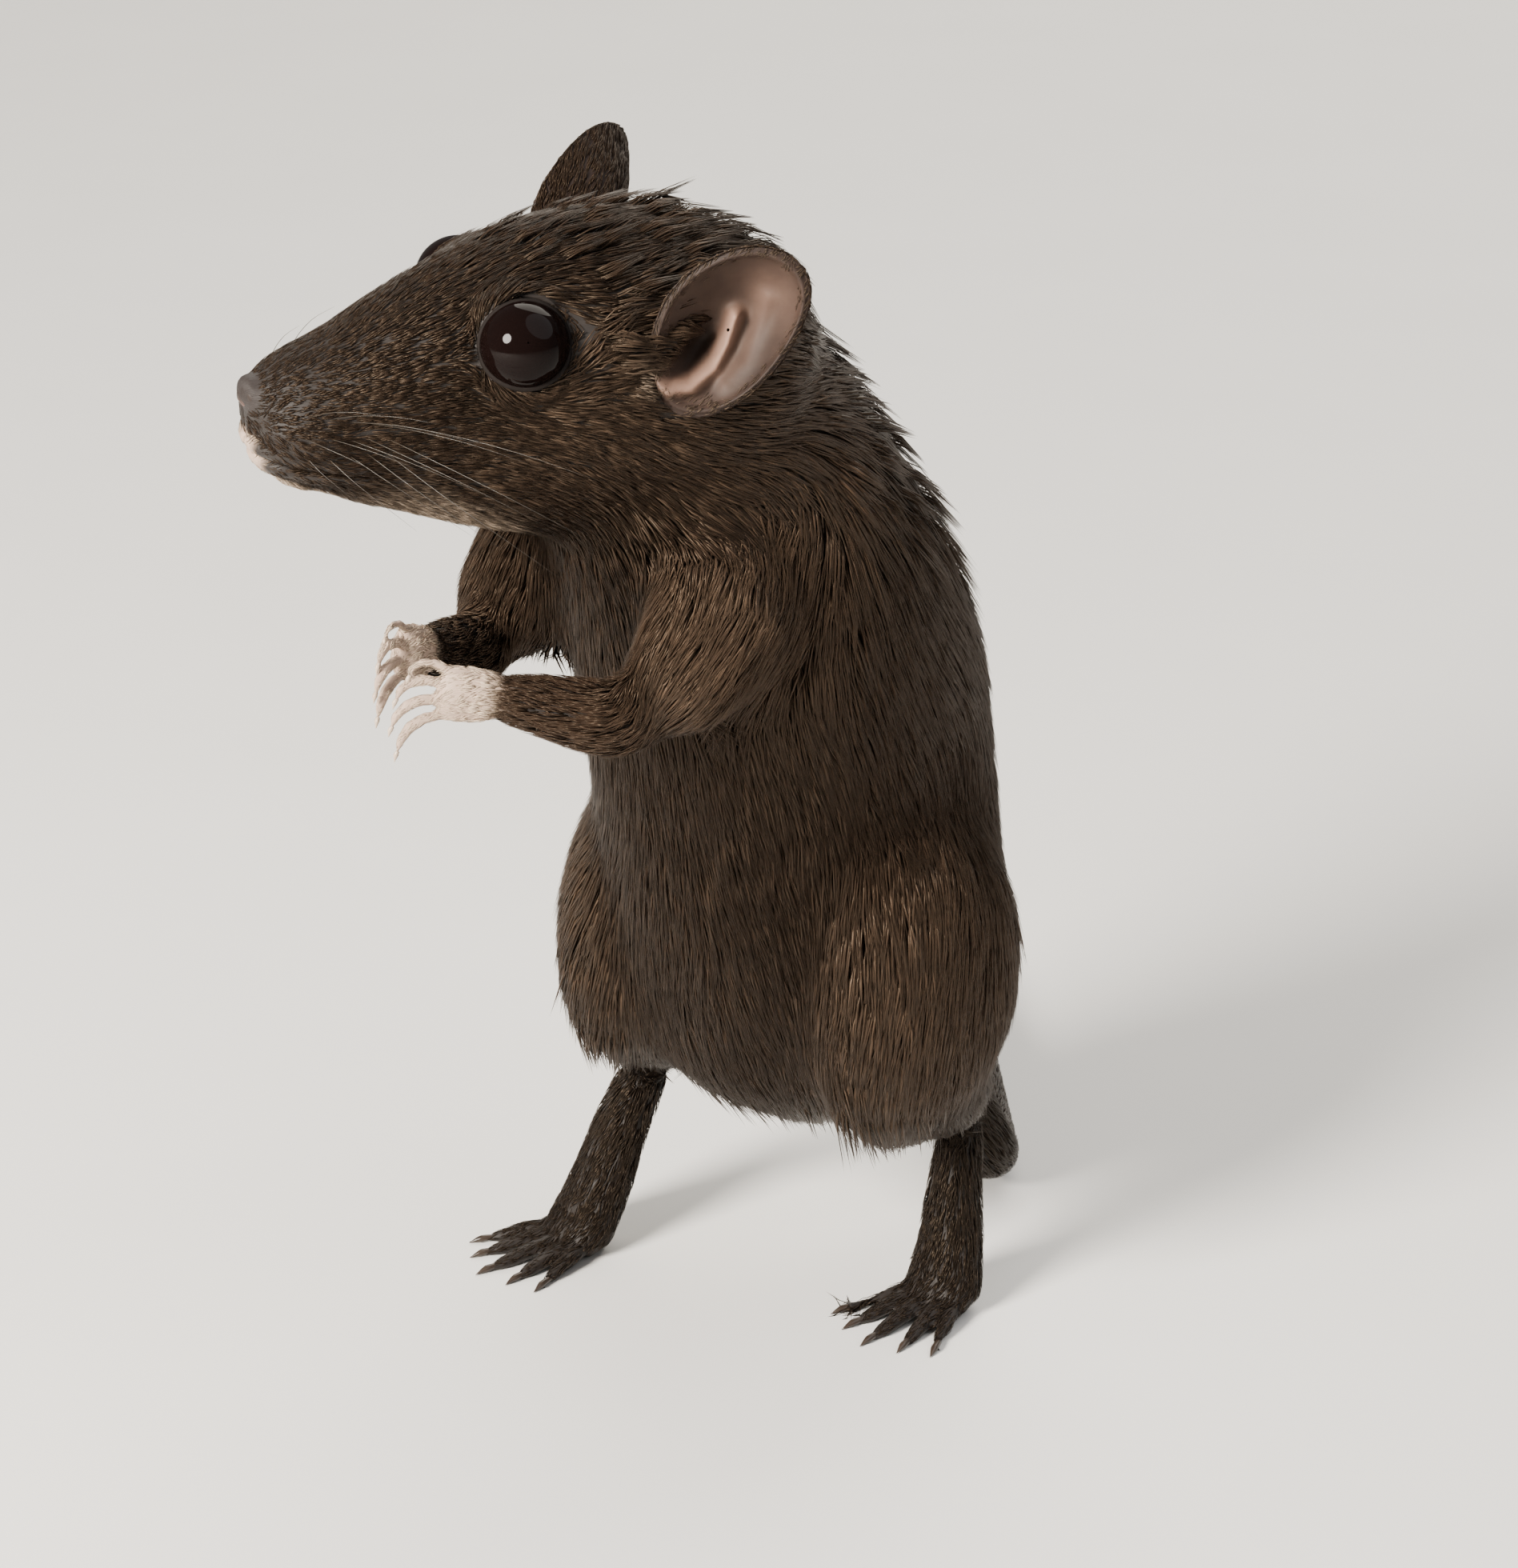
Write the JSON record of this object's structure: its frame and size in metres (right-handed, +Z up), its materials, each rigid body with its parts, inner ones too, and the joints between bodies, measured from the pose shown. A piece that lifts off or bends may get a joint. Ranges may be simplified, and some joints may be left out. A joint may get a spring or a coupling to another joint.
{
  "type": "gerbil",
  "caption": "life-size still model of a black gerbil standing upright on its hind feet, forepaws together at the chest, head turned to its right, tail laid on the floor behind",
  "frame": {"origin": "on the floor, below the middle of the whole animal's box, tail included", "axes": "+Z up, the chest faces -Y, the animal's left side is +X"},
  "size_m": [0.0998, 0.1074, 0.0892],
  "materials": {
    "fur": "short glossy brown-black fur",
    "ear_skin": "thin dusky pink skin with fine down",
    "paw_skin": "pale skin with fine cream hair",
    "foot_skin": "dark skin under short black hair",
    "eye": "wet gloss black"
  },
  "bodies": {
    "root": {"head": "fur", "neck": "fur", "chest": "fur", "abdomen": "fur", "ear_left": "ear_skin", "ear_right": "ear_skin", "eye_left": "eye", "eye_right": "eye", "upper_arm_left": "fur", "upper_arm_right": "fur", "forearm_left": "fur", "forearm_right": "fur", "forepaw_left": "paw_skin", "forepaw_right": "paw_skin", "thigh_left": "fur", "thigh_right": "fur", "shank_left": "fur", "shank_right": "fur", "hind_foot_left": "foot_skin", "hind_foot_right": "foot_skin", "tail_base": "fur", "tail_upper": "fur", "tail_middle": "fur", "tail_lower": "fur", "tail_tip": "fur"}
  },
  "joints": []
}
